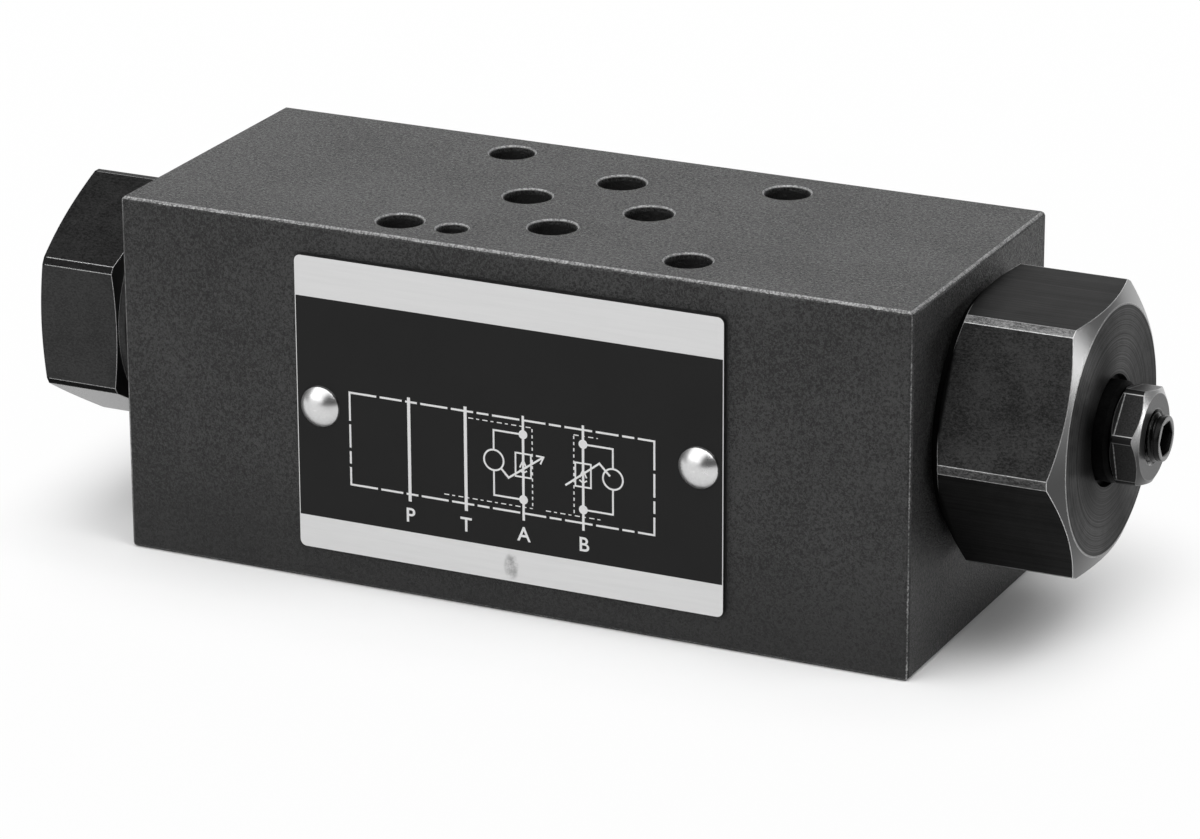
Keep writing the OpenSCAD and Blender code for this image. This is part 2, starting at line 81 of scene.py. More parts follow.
class Look:
    """One material: a Principled shader and the nodes that feed it, placed by the part's own millimetres."""

    def __init__(self, name, **sockets):
        self.mat = bpy.data.materials.new(name)
        self.mat.use_nodes = True
        self.tree = self.mat.node_tree
        self.shader = self.tree.nodes["Principled BSDF"]
        self.set(**sockets)
        self.mm = self.scaled(self.new("ShaderNodeTexCoord").outputs["Object"], (1 / MM, 1 / MM, 1 / MM))
        self.x, self.y, self.z = self.split(self.mm)
        self.normal = self.new("ShaderNodeNewGeometry").outputs["Normal"]
        self.nx, self.ny, self.nz = self.split(self.normal)

    def set(self, **sockets):
        for name, value in sockets.items():
            self.feed(self.shader.inputs[name.replace("_", " ")], value)

    def feed(self, socket, value):
        if isinstance(value, bpy.types.NodeSocket):
            self.tree.links.new(value, socket)
        else:
            socket.default_value = value

    def new(self, kind, inputs=None, **settings):
        node = self.tree.nodes.new(kind)
        for name, value in settings.items():
            setattr(node, name, value)
        for name, value in (inputs or {}).items():
            self.feed(node.inputs[name], value)
        return node

    def scaled(self, vector, by):
        return self.new("ShaderNodeVectorMath", {0: vector, 1: by}, operation="MULTIPLY").outputs[0]

    def split(self, vector):
        node = self.new("ShaderNodeSeparateXYZ", {0: vector})
        return node.outputs[0], node.outputs[1], node.outputs[2]

    def math(self, operation, *values):
        return self.new("ShaderNodeMath", dict(enumerate(values)), operation=operation).outputs[0]

    def add(self, a, b):
        return self.math("ADD", a, b)

    def sub(self, a, b):
        return self.math("SUBTRACT", a, b)

    def mul(self, a, b):
        return self.math("MULTIPLY", a, b)

    def div(self, a, b):
        return self.math("DIVIDE", a, b)

    def most(self, a, b):
        return self.math("MAXIMUM", a, b)

    def least(self, a, b):
        return self.math("MINIMUM", a, b)

    def absolute(self, a):
        return self.math("ABSOLUTE", a)

    def length(self, a, b):
        return self.math("SQRT", self.add(self.mul(a, a), self.mul(b, b)))

    def step(self, value, low, high):
        """0 below low, 1 above high, smooth between; turned round where low is the greater."""
        inputs = {0: value, 1: low, 2: high, 3: 0.0, 4: 1.0}
        return self.new("ShaderNodeMapRange", inputs, interpolation_type="SMOOTHSTEP").outputs[0]

    def spread(self, value, low, high, out_low, out_high):
        inputs = {0: value, 1: low, 2: high, 3: out_low, 4: out_high}
        return self.new("ShaderNodeMapRange", inputs).outputs[0]

    def noise(self, scale, detail=2.0, roughness=0.5, stretch=None, warp=0.0):
        """Noise with a number of blobs to the millimetre."""
        vector = self.scaled(self.mm, stretch) if stretch else self.mm
        inputs = {"Vector": vector, "Scale": scale, "Detail": detail, "Roughness": roughness,
                  "Distortion": warp}
        return self.new("ShaderNodeTexNoise", inputs).outputs[0]

    def mix(self, factor, a, b):
        return self.new("ShaderNodeMix", {0: factor, 6: grey(a), 7: grey(b)}, data_type="RGBA").outputs[2]

    def blend(self, factor, a, b):
        return self.new("ShaderNodeMix", {0: factor, 2: a, 3: b}, data_type="FLOAT").outputs[0]

    def radius(self, z0):
        """Distance from a cartridge axis, which runs along X."""
        return self.length(self.y, self.sub(self.z, z0))

    def edges(self, radius, samples=8):
        """A mask along the edges, and the normal rounded over them."""
        rounded = self.new("ShaderNodeBevel", {"Radius": radius * MM}, samples=samples).outputs[0]
        dot = self.new("ShaderNodeVectorMath", {0: rounded, 1: self.normal}, operation="DOT_PRODUCT")
        return self.step(dot.outputs["Value"], 0.9985, 0.985), rounded

    def bump(self, height, depth, normal=None):
        inputs = {"Strength": 1.0, "Distance": depth * MM, "Height": height}
        if normal is not None:
            inputs["Normal"] = normal
        self.feed(self.shader.inputs["Normal"], self.new("ShaderNodeBump", inputs).outputs[0])


def grey(value):
    return (value, value, value, 1.0) if isinstance(value, (int, float)) else value


def body_look():
    """Phosphated iron: a mottled skin, rubbed bright along chamfers and hole rims; painted shade darkens it
    towards the base, in the bores and in a thin rim round the plate.
    """
    look = Look("body_iron", IOR=1.45)
    x = look.sub(BODY_HALF[0], look.absolute(look.sub(look.x, BODY_X)))
    y = look.sub(BODY_HALF[1], look.absolute(look.y))
    z = look.sub(BODY_HALF[2], look.absolute(look.sub(look.z, BODY_HALF[2])))
    low, high = look.least(x, y), look.most(x, y)
    edge = look.most(low, look.least(high, z))
    fine, rubbed = look.noise(3.4, 3.0, 0.65), look.noise(0.16, 3.0, 0.6)
    limit = look.spread(look.add(fine, look.mul(rubbed, 0.5)), 0.55, 0.95, 0.24, 0.35)
    worn = look.step(edge, look.add(limit, 0.05), look.sub(limit, 0.05))
    worn = look.mul(worn, look.spread(rubbed, 0.3, 0.7, 0.3, 1.0))
    # Inside the bores, more than about a millimetre in, the skin is painted near-black: painted shade.
    inside = look.step(look.least(low, z), 0.55, 0.9)
    rim = look.mul(look.step(look.nz, 0.3, 0.45), look.step(look.nz, 0.97, 0.9))
    rim = look.mul(rim, look.step(look.z, 48.76, 48.84))
    worn = look.most(worn, look.mul(rim, look.spread(fine, 0.3, 0.7, 0.6, 1.0)))
    blotch, speckle = look.noise(3.0, 2.0, 0.55, warp=0.9), look.noise(6.5, 2.0, 0.6)
    cloud = look.noise(0.06, 3.0, 0.5)
    skin = look.add(look.mul(blotch, 0.65), look.mul(speckle, 0.35))
    tone = look.add(skin, look.spread(cloud, 0.3, 0.7, -0.05, 0.05))
    # A thin near-black rim on the block round the plate: painted shade where the plate stands proud.
    plate_x = look.sub(look.absolute(look.sub(look.x, PLATE_CENTRE[0])), PLATE_HALF[0])
    plate_z = look.sub(look.absolute(look.sub(look.z, PLATE_CENTRE[1])), PLATE_HALF[1])
    painted_plate_shade = look.mul(look.step(look.most(plate_x, plate_z), 0.42, 0.12), look.step(look.ny, -0.9, -0.97))
    # The skin's tone fades darker towards the base: painted shade.
    light = look.mix(look.step(look.z, 2.0, 20.0), 0.016, 0.043)
    colour = look.mix(look.step(tone, 0.39, 0.61), 0.002, light)
    colour = look.mix(look.most(inside, painted_plate_shade), colour, 0.003)
    look.set(Base_Color=look.mix(worn, colour, look.mix(look.step(fine, 0.35, 0.65), 0.22, 0.5)),
             Metallic=look.mul(worn, 0.8),
             Roughness=look.blend(worn, look.spread(skin, 0.3, 0.7, 0.68, 0.36), 0.38))
    look.bump(skin, 0.24)
    return look.mat


def cap_look(name, axis_z, turned_r, reach, specular, tint, streaks, satin, front_grain_and_painted_light, strip, low_strip,
             low_rough):
    """Black-oxide steel: satin flats, turned corners and cones, and light edges beyond the collar; painted
    light makes the front flats, upper strips and upper cones lighter and the lower ones darker, and painted
    shade makes the collar near-black.
    """
    look = Look(name, IOR=1.5, Specular_IOR_Level=specular, Specular_Tint=grey(tint), Anisotropic=0.6,
                Anisotropic_Rotation=0.25)
    look.set(Tangent=look.new("ShaderNodeTangent", direction_type="RADIAL", axis="X").outputs[0])
    radius = look.radius(axis_z)
    streak = look.noise(1.0, 4.0, 0.6, stretch=(0.05, 3.0, 3.0))
    blotch = look.noise(4.2, 2.0, 0.55, stretch=(0.6, 1.0, 1.0), warp=0.8)
    fine = look.noise(8.0, 2.0, 0.6)
    cloud = look.noise(0.22, 3.0, 0.55)
    grain = look.add(look.mul(blotch, 0.6), look.mul(fine, 0.4))
    front = look.step(look.absolute(look.ny), 0.8, 0.9)
    grain = look.add(grain, look.spread(cloud, 0.3, 0.7, -0.06, 0.06))
    plain = look.blend(streaks, grain, look.add(look.mul(streak, 0.7), look.mul(cloud, 0.3)))
    tone = look.blend(front, plain, grain)
    edge, rounded = look.edges(0.15)
    along = look.absolute(look.x)
    free = look.step(along, reach[0], reach[0] + 0.5)
    rubbed = look.mul(free, look.step(radius, 8.0, 9.0))
    rubbed = look.mul(rubbed, look.step(along, reach[1], reach[1] - 0.2))
    edge = look.mul(look.mul(edge, rubbed), look.spread(fine, 0.35, 0.65, 0.4, 1.0))
    corner = look.mul(look.step(radius, turned_r - 0.05, turned_r - 0.025), free)
    lean = look.absolute(look.nx)
    cone = look.mul(look.mul(look.step(lean, 0.2, 0.3), look.step(lean, 0.99, 0.97)), free)
    # Downward corner strips keep only part of the turned colour, set by low_strip: painted shade.
    upper = look.step(look.nz, -0.1, 0.1)
    turned = look.most(look.mul(corner, look.spread(upper, 0.0, 1.0, low_strip, 0.9)), cone)
    # Front-facing flats take a lighter colour than the other flats: grain, with painted light in the brighter
    # colour.
    flats = look.mix(look.step(tone, 0.3, 0.7), *satin)
    colour = look.mix(front, flats, look.mix(look.step(tone, 0.34, 0.66), *front_grain_and_painted_light))
    # The collar next to the block is painted near-black: painted shade in the gap.
    colour = look.mix(free, 0.002, colour)
    skin = look.blend(look.step(look.nz, -0.6, -0.8), look.spread(tone, 0.3, 0.7, 0.46, 0.32), low_rough)
    strips = look.mix(look.step(grain, 0.35, 0.65), *strip)
    # Cones are painted lighter on their upper side and darker below: painted highlight and shade.
    bright = look.mix(cone, strips, look.mix(look.step(look.nz, -0.05, 0.3), 0.07, 0.22))
    colour = look.mix(turned, colour, bright)
    look.set(Base_Color=look.mix(edge, colour, 0.85),
             Metallic=look.most(look.mul(turned, 0.85), look.mul(edge, 0.85)),
             Roughness=look.blend(look.most(turned, edge), skin, 0.28))
    look.bump(tone, 0.009, rounded)
    return look.mat


def turned_look(name, axis_z, outer, dark_reflection_amount):
    """A lathe-turned face: fine ring marks of uneven depth, dark oxide left in the grooves, and where asked a
    painted dark reflection beside the hub.
    """
    look = Look(name, IOR=1.5, Anisotropic=0.92, Anisotropic_Rotation=0.25, Specular_Tint=grey(0.6))
    look.set(Tangent=look.new("ShaderNodeTangent", direction_type="RADIAL", axis="X").outputs[0])
    radius = look.radius(axis_z)
    ring = look.new("ShaderNodeTexNoise", {"W": radius, "Scale": 4.5, "Detail": 4.0, "Roughness": 0.75},
                    noise_dimensions="1D").outputs[0]
    patch = look.noise(0.5, 3.0, 0.6)
    tone = look.add(look.mul(ring, 0.8), look.mul(patch, 0.2))
    rim = look.mul(look.step(radius, outer - 0.22, outer - 0.12), look.spread(patch, 0.3, 0.7, 0.6, 1.0))
    # A dark sector beside the hub on the front side: painted dark reflection.
    painted_dark_reflection = look.mul(look.step(radius, 13.5, 8.5), look.step(look.y, 3.0, -5.0))
    painted_dark_reflection = look.mul(painted_dark_reflection, look.spread(patch, 0.3, 0.7, 0.8 * dark_reflection_amount, dark_reflection_amount))
    colour = look.mix(painted_dark_reflection, look.mix(look.step(tone, 0.34, 0.66), 0.006, 0.088), 0.003)
    look.set(Base_Color=look.mix(rim, colour, 0.32),
             Metallic=look.spread(patch, 0.3, 0.7, 0.93, 1.0),
             Roughness=look.spread(tone, 0.3, 0.7, 0.4, 0.34))
    look.bump(ring, 0.01)
    return look.mat


def nut_look():
    """Black nut: ground faces and dark corners with a rubbed line; on each flat a painted highlight line with a
    painted dark reflection behind it, and painted light making the upper cone and edges lighter than the lower.
    """
    look = Look("nut_steel", IOR=1.5, Specular_IOR_Level=0.2)
    edge, rounded = look.edges(0.16)
    fine, grain = look.noise(4.0, 3.0, 0.6), look.noise(7.0, 2.0, 0.6)
    edge = look.mul(edge, look.spread(fine, 0.35, 0.65, 0.55, 1.0))
    flat = look.step(look.absolute(look.nx), 0.25, 0.15)
    radius, upper = look.radius(ADJUSTER_Z), look.step(look.nz, -0.1, 0.3)
    corner = look.mul(look.step(radius, NUT_BAND, NUT_BAND + 0.02), flat)
    line = look.step(radius, NUT_BAND - 0.06, NUT_BAND - 0.03)
    line = look.mul(line, look.step(radius, NUT_BAND + 0.01, NUT_BAND))
    edge = look.most(look.mul(edge, look.sub(1.0, corner)), look.mul(line, flat))
    # Edge lines are dimmer on downward faces: painted shade.
    edge = look.mul(edge, look.spread(upper, 0.0, 1.0, 0.35, 1.0))
    # A line near the back of each flat is a painted highlight, and the flat behind it a painted dark
    # reflection.
    back = look.mul(look.step(look.x, NUT_HIGHLIGHT_LINE + 0.03, NUT_HIGHLIGHT_LINE - 0.03), flat)
    painted_highlight_line = look.sub(look.x, NUT_HIGHLIGHT_LINE)
    painted_highlight_line = look.mul(look.step(look.absolute(painted_highlight_line), 0.1, 0.05), look.sub(flat, corner))
    edge = look.most(edge, look.mul(painted_highlight_line, look.spread(fine, 0.35, 0.6, 0.2, 1.0)))
    faced = look.mul(look.step(look.nx, 0.3, 0.45), look.spread(grain, 0.3, 0.7, 0.7, 1.0))
    colour = look.mix(look.step(grain, 0.35, 0.65), 0.004, 0.024)
    colour = look.mix(look.most(corner, back), colour, 0.002)
    # The cone face is painted light above and dark below: painted highlight and shade.
    cone = look.mix(upper, 0.07, 0.5)
    ground = look.mix(look.step(grain, 0.3, 0.7), 0.05, 0.08)
    colour = look.mix(faced, colour, look.mix(look.step(look.nx, 0.985, 0.96), ground, cone))
    look.set(Base_Color=look.mix(edge, colour, 0.45),
             Metallic=look.most(look.mul(faced, 0.85), look.mul(edge, 0.85)),
             Roughness=look.blend(look.most(faced, edge), look.spread(grain, 0.3, 0.7, 0.46, 0.32), 0.3))
    look.bump(grain, 0.008, rounded)
    return look.mat


def screw_look():
    """Black hardened screw, oily, with the thread crests a little rubbed."""
    look = Look("screw_steel", IOR=1.5, Specular_IOR_Level=0.15)
    radius = look.radius(ADJUSTER_Z)
    fine, grain = look.noise(3.0, 3.0, 0.6), look.noise(8.0, 2.0, 0.6)
    crest = look.mul(look.step(radius, 3.12, 3.2), look.spread(fine, 0.3, 0.7, 0.02, 0.25))
    tip = look.mul(look.step(look.nx, 0.9, 0.97), look.step(radius, 2.2, 2.35))
    rubbed = look.most(crest, tip)
    colour = look.mix(look.step(grain, 0.3, 0.7), 0.001, 0.004)
    look.set(Base_Color=look.mix(rubbed, colour, 0.17),
             Metallic=look.mul(rubbed, 0.8),
             Roughness=look.blend(rubbed, look.spread(grain, 0.3, 0.7, 0.3, 0.2), 0.26))
    look.bump(grain, 0.005)
    return look.mat


def aluminium_look():
    """Satin rolled aluminium of the name plate, with a rubbed grey smear on the lower band."""
    look = Look("plate_aluminium", IOR=1.5)
    rolled = look.noise(1.0, 4.0, 0.6, stretch=(0.1, 2.2, 2.2))
    fleck = look.noise(6.0, 2.0, 0.6)
    dx = look.div(look.add(look.x, 1.3), 1.15)
    dz = look.div(look.sub(look.z, 6.75), 1.9)
    reach = look.add(look.mul(dx, dx), look.mul(dz, dz))
    smear = look.mul(look.step(reach, 1.2, 0.1), look.step(look.noise(0.9, 3.0, 0.7), 0.3, 0.66))
    colour = look.mix(look.step(rolled, 0.2, 0.8), 0.67, 0.7)
    # The plate's edge faces are painted near-black: painted shade round the plate.
    side = look.step(look.absolute(look.ny), 0.7, 0.4)
    look.set(Base_Color=look.mix(side, look.mix(look.mul(smear, 0.62), colour, 0.13), 0.01),
             Metallic=look.mul(look.blend(smear, 0.85, 0.4), look.sub(1.0, side)),
             Roughness=look.spread(look.add(rolled, look.mul(fleck, 0.4)), 0.5, 0.9, 0.43, 0.37))
    look.bump(look.add(rolled, fleck), 0.0015)
    return look.mat


def ink_look(name, dark, light, roughness):
    """Fired print on the plate: even colour with a fine tooth and a faint unevenness."""
    look = Look(name, IOR=1.45, Specular_IOR_Level=0.25)
    tooth, cloud = look.noise(9.0, 2.0, 0.6), look.noise(0.12, 3.0, 0.5)
    tone = look.add(look.mul(tooth, 0.5), look.mul(cloud, 0.5))
    look.set(Base_Color=look.mix(look.step(tone, 0.3, 0.7), dark, light),
             Roughness=look.spread(tone, 0.3, 0.7, roughness + 0.05, roughness - 0.05))
    look.bump(tooth, 0.002)
    return look.mat


def steel_look(name, dark, light, roughness, stretch=None, dents=0.004):
    """Bright metal with fine marks: nickel, ground steel or spring wire."""
    look = Look(name, IOR=1.5, Metallic=1.0)
    marks, cloud = look.noise(3.0, 4.0, 0.6, stretch=stretch), look.noise(0.4, 3.0, 0.5)
    tone = look.add(look.mul(marks, 0.5), look.mul(cloud, 0.5))
    look.set(Base_Color=look.mix(look.step(tone, 0.3, 0.7), dark, light),
             Roughness=look.spread(tone, 0.3, 0.7, roughness * 1.25, roughness * 0.8))
    look.bump(marks, dents)
    return look.mat


def rivet_look():
    """Nickel-plated dome, softly polished, with a dark band at its foot: grime in the joint with the plate, and
    painted shade of the gap under the head.
    """
    look = Look("rivet_nickel", IOR=1.5)
    marks, cloud = look.noise(3.0, 4.0, 0.6), look.noise(0.4, 3.0, 0.5)
    tone = look.add(look.mul(marks, 0.5), look.mul(cloud, 0.5))
    # The lowest few tenths of the dome are near-black: grime and painted shade.
    joint = look.add(look.y, look.spread(marks, 0.3, 0.7, -0.03, 0.03))
    joint = look.step(joint, PLATE_FRONT - 0.26, PLATE_FRONT - 0.18)
    look.set(Base_Color=look.mix(joint, look.mix(look.step(tone, 0.3, 0.7), 0.6, 0.68), 0.004),
             Metallic=look.sub(1.0, joint),
             Roughness=look.spread(tone, 0.3, 0.7, 0.32, 0.26))
    look.bump(marks, 0.003)
    return look.mat


def rubber_look():
    """Black rubber with a moulded bloom."""
    look = Look("seal_rubber", IOR=1.4, Specular_IOR_Level=0.06)
    bloom, tooth = look.noise(0.7, 4.0, 0.6), look.noise(8.0, 2.0, 0.6)
    look.set(Base_Color=look.mix(look.step(bloom, 0.35, 0.7), 0.001, 0.003),
             Roughness=look.spread(tooth, 0.3, 0.7, 0.75, 0.6))
    look.bump(tooth, 0.01)
    return look.mat


looks = {
    "body_iron": body_look(),
    "adjuster_steel": cap_look(
        "adjuster_steel", ADJUSTER_Z, turned_r=19.18, reach=(55.2, 80.0), specular=0.035, tint=1.0, streaks=1.0,
        satin=(0.003, 0.008), front_grain_and_painted_light=(0.012, 0.046), strip=(0.06, 0.26), low_strip=0.3, low_rough=0.4),
    "end_cap_steel": cap_look(
        "end_cap_steel", END_Z, turned_r=17.03, reach=(62.5, 74.8), specular=0.12, tint=0.5, streaks=0.0,
        satin=(0.001, 0.026), front_grain_and_painted_light=(0.033, 0.063), strip=(0.003, 0.01), low_strip=1.0, low_rough=0.2),
    "nut_steel": nut_look(),
    "screw_steel": screw_look(),
    "plate_aluminium": aluminium_look(),
    "plate_black": ink_look("plate_black", 0.003, 0.005, 0.42),
    "plate_white": ink_look("plate_white", 0.93, 0.97, 0.5),
    "rivet_nickel": rivet_look(),
    "seal_rubber": rubber_look(),
    "ground_steel": steel_look("ground_steel", 0.42, 0.55, 0.24, stretch=(3.0, 0.3, 0.3)),
    "spring_steel": steel_look("spring_steel", 0.2, 0.32, 0.34),
}
NODE_LOOKS = {
    "valve_body": "body_iron", "name_plate": "plate_aluminium", "plate_rivets": "rivet_nickel",
    "adjuster_cap": "adjuster_steel", "end_cap": "end_cap_steel", "lock_nut": "nut_steel",
    "adjusting_screw": "screw_steel", "spring_guide": "ground_steel", "relief_poppet_a": "ground_steel",
    "relief_poppet_b": "ground_steel", "seat_sleeve_a": "ground_steel", "seat_sleeve_b": "ground_steel",
    "setting_shim": "ground_steel", "relief_spring_a": "spring_steel", "relief_spring_b": "spring_steel",
}
for name, node in nodes.items():
    for slot in node.material_slots:
        slot.material = looks[NODE_LOOKS.get(name, "seal_rubber")]


# Pieces

def piece(name, mesh, look, body, smooth=30.0):
    """A new piece: its mesh, in millimetres, becomes metres. A piece with no body is left unattached."""
    mesh.transform(Matrix.Scale(MM, 4))
    mesh.materials.clear()
    mesh.materials.append(look)
    obj = bpy.data.objects.new(name, mesh)
    scene.collection.objects.link(obj)
    if smooth:
        mesh.shade_smooth()
        mesh.set_sharp_from_angle(angle=math.radians(smooth))
    if body:
        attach(obj, body)
    return obj


def mesh_of(name, bm):
    bmesh.ops.recalc_face_normals(bm, faces=bm.faces)
    mesh = bpy.data.meshes.new(name)
    bm.to_mesh(mesh)
    bm.free()
    return mesh


def rings_to_faces(bm, rings, closed=False):
    """Joins rings of equal length one after another, and the last to the first if closed."""
    rows = [[bm.verts.new(p) for p in ring] for ring in rings]
    for a, b in zip(rows, rows[1:] + (rows[:1] if closed else [])):
        for i in range(len(a)):
            j = (i + 1) % len(a)
            bm.faces.new((a[i], a[j], b[j], b[i]))
    return rows


def filled_curve(data, y):
    """A flat curve or text, drawn in x and z, as a thin solid about the plane y."""
    holder = bpy.data.objects.new("holder", data)
    scene.collection.objects.link(holder)
    bpy.context.view_layer.update()
    mesh = bpy.data.meshes.new_from_object(holder.evaluated_get(bpy.context.evaluated_depsgraph_get()))
    bpy.data.objects.remove(holder)
    bpy.data.curves.remove(data)
    bm = bmesh.new()
    bm.from_mesh(mesh)
    bmesh.ops.remove_doubles(bm, verts=bm.verts, dist=0.0001)
    bmesh.ops.dissolve_degenerate(bm, edges=bm.edges, dist=0.0001)
    bm.to_mesh(mesh)
    bm.free()
    mesh.transform(Matrix.Translation((0, y, 0)) @ Matrix.Rotation(math.pi / 2, 4, "X"))
    return mesh


def outline(loops, thickness):
    data = bpy.data.curves.new("outline", "CURVE")
    data.dimensions, data.fill_mode, data.extrude = "2D", "BOTH", thickness / 2
    for loop in loops:
        spline = data.splines.new("POLY")
        spline.points.add(len(loop) - 1)
        for point, (x, z) in zip(spline.points, loop):
            point.co = (x, z, 0, 1)
        spline.use_cyclic_u = True
    return data


def turn(count):
    """Evenly spaced angles round a circle."""
    return [2 * math.pi * i / count for i in range(count)]


def circle(cx, cz, r, count=48):
    return [(cx + r * math.cos(t), cz + r * math.sin(t)) for t in turn(count)]


# The plate's black field, cut out round the rivet heads
(x0, z0), (x1, z1) = FIELD_LOW, FIELD_HIGH
loops = [[(x0, z0), (x1, z0), (x1, z1), (x0, z1)]] + [circle(x, z, RIVET_CUT) for x, z in RIVETS]
field = filled_curve(outline(loops, FIELD_THICK), PLATE_FRONT - FIELD_THICK / 4)
piece("plate_field", field, looks["plate_black"], "valve", smooth=None)

# The circuit diagram: port lines, throttles with checks, pilot lines and the four port letters
INK_BACK, INK_FRONT = PLATE_FRONT, PLATE_FRONT - 0.05
LAYER_STEP, STROKE_STEP = 0.004, 0.002
LETTER_SIZE, LETTER_SWELL, LETTER_Z = 2.75, 0.035, 11.6
DIAGRAM_SHIFT = (0.15, 0.0, -0.2)


class Print:
    """Raised print: each stroke is a thin solid, and strokes that cross differ a hair in height."""

    def __init__(self):
        self.bm = bmesh.new()
        self.layer = self.count = 0

    def top(self):
        self.count += 1
        return INK_FRONT - LAYER_STEP * self.layer - STROKE_STEP * (self.count % 2)

    def solid(self, loop):
        top = self.top()
        back = [self.bm.verts.new((x, INK_BACK, z)) for x, z in loop]
        front = [self.bm.verts.new((x, top, z)) for x, z in loop]
        self.bm.faces.new(front)
        self.bm.faces.new(back[::-1])
        for i in range(len(loop)):
            j = (i + 1) % len(loop)
            self.bm.faces.new((back[i], back[j], front[j], front[i]))

    def line(self, a, b, width):
        a, b = Vector(a), Vector(b)
        side = Vector((-(b - a).y, (b - a).x)).normalized() * width / 2
        self.solid([a + side, b + side, b - side, a - side])

    def path(self, points, width):
        for a, b in zip(points, points[1:]):
            way = (Vector(b) - Vector(a)).normalized() * width / 2
            self.line(Vector(a) - way, Vector(b) + way, width)

    def dashes(self, a, b, pattern, width):
        a, b = Vector(a), Vector(b)
        length, at, index = (b - a).length, 0.0, 0
        way = (b - a) / length
        while at < length:
            dash, gap = pattern[index % len(pattern)]
            self.line(a + way * at, a + way * min(at + dash, length), width)
            at, index = at + dash + gap, index + 1

    def ring(self, cx, cz, r, width):
        top = self.top()
        inner, outer = circle(cx, cz, r - width / 2), circle(cx, cz, r + width / 2)
        loops = ((inner, INK_BACK), (outer, INK_BACK), (outer, top), (inner, top))
        rings_to_faces(self.bm, [[(x, y, z) for x, z in loop] for loop, y in loops], closed=True)

    def letter(self, text, cx, cz):
        data = bpy.data.curves.new("letter", "FONT")
        data.body, data.size, data.align_x, data.align_y = text, LETTER_SIZE, "CENTER", "CENTER"
        data.extrude, data.offset = (INK_BACK - INK_FRONT) / 2, LETTER_SWELL
        mesh = filled_curve(data, (INK_BACK + INK_FRONT) / 2)
        mesh.transform(Matrix.Translation((cx, 0, cz)))
        self.bm.from_mesh(mesh)
        bpy.data.meshes.remove(mesh)


art = Print()
left, right, low, high = -24.6, 18.9, 14.6, 27.3
long_short = [(3.9, 0.5), (3.2, 0.5), (1.7, 0.5)]
for a, b in (((left, high), (right, high)), ((right, high), (right, low)), ((left, low), (right, low)),
             ((left, high), (left, low))):
    art.dashes(a, b, long_short, 0.27)
art.layer = 1
for corner in ((left, high), (right, high), (right, low), (left, low)):
    way_x, way_z = math.copysign(1.6, -corner[0]), math.copysign(1.6, 20 - corner[1])
    art.path([(corner[0] + way_x, corner[1]), corner, (corner[0], corner[1] + way_z)], 0.27)
art.layer = 2
for x, width in ((-16.0, 0.44), (-7.85, 0.44), (0.4, 0.34), (8.9, 0.34)):
    art.line((x, 27.9), (x, 13.6), width)
for x, way in ((0.4, -1), (8.9, 1)):
    loop_x = x + way * 4.2
    art.layer = 3
    for z in (25.35, 16.45):
        art.solid(circle(x, z, 0.62, 24))
    art.path([(x - 1.1, 19.55), (x + 1.1, 19.55), (x + 1.1, 22.75), (x - 1.1, 22.75), (x - 1.1, 19.55)],
             0.22)
    art.layer = 4
    for z in (25.35, 16.45):
        art.line((x, z), (loop_x, z), 0.24)
    art.path([(x - 0.45, 20.9), (x, 21.9), (x + 0.45, 20.9)], 0.2)
    art.path([(x - 0.45, 20.4), (x, 20.1), (x + 0.45, 20.4)], 0.2)
    art.layer = 5
    art.path([(loop_x, 25.35), (loop_x, 22.65)], 0.24)
    art.path([(loop_x, 19.85), (loop_x, 16.45)], 0.24)
    art.dashes((x - way * 1.3, 26.3), (x - way * 1.3, 15.4), [(0.42, 0.42)], 0.16)
    art.layer = 6
    art.ring(loop_x, 21.25, 1.4, 0.24)
art.layer = 7
art.path([(-2.75, 20.25), (-1.7, 19.15), (3.0, 22.5)], 0.27)
art.path([(6.5, 19.5), (11.2, 23.1), (12.6, 21.7)], 0.27)
art.layer = 8
art.path([(2.35, 22.75), (3.3, 22.7), (2.9, 21.8)], 0.22)
for a, b in (((-7.4, 26.45), (1.7, 26.45)), ((-11.0, 15.45), (1.7, 15.45)), ((7.6, 26.45), (11.0, 26.45)),
             ((3.6, 15.45), (11.6, 15.45))):
    art.dashes(a, b, [(0.7, 0.45), (0.4, 0.5)], 0.12)
for text, x in (("P", -16.0), ("T", -7.9), ("A", 0.4), ("B", 8.95)):
    art.letter(text, x, LETTER_Z)
bmesh.ops.translate(art.bm, verts=art.bm.verts, vec=DIAGRAM_SHIFT)
diagram = mesh_of("plate_diagram", art.bm)
piece("plate_diagram", diagram, looks["plate_white"], "valve", smooth=None)


def turned_face(name, x, way, axis_z, inner, outer, dark_reflection_amount):
    """A face skin with true tool marks, let into the cap's end and standing a few hundredths proud."""
    look = turned_look(name.replace("_face", ""), axis_z, outer, dark_reflection_amount)
    count, pitch = 144, 0.22
    radii, heights, r, i = [], [], inner, 0
    while r < outer:
        wander = 0.004 * math.sin(i * 2.399) + 0.003 * math.sin(i * 0.731 + 1.0)
        radii.append(r)
        heights.append(0.024 + wander + (0.004 if i % 2 else -0.004))
        r, i = r + pitch / 2, i + 1
    profile = [(inner, -0.05)] + list(zip(radii, heights)) + [(outer, 0.012), (outer + 0.03, -0.05)]
    bm = bmesh.new()
    rings_to_faces(bm, [[(x + way * h, r * math.cos(t), axis_z + r * math.sin(t)) for t in turn(count)]
                        for r, h in profile], closed=True)
    piece(name, mesh_of(name, bm), look, "valve", smooth=60.0)


turned_face("adjuster_turned_face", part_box("adjuster_cap")[1].x / MM, 1, ADJUSTER_Z, inner=7.28, outer=16.15,
            dark_reflection_amount=0.85)
turned_face("end_cap_turned_face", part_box("end_cap")[0].x / MM, -1, END_Z, inner=0.25, outer=14.33, dark_reflection_amount=0.0)


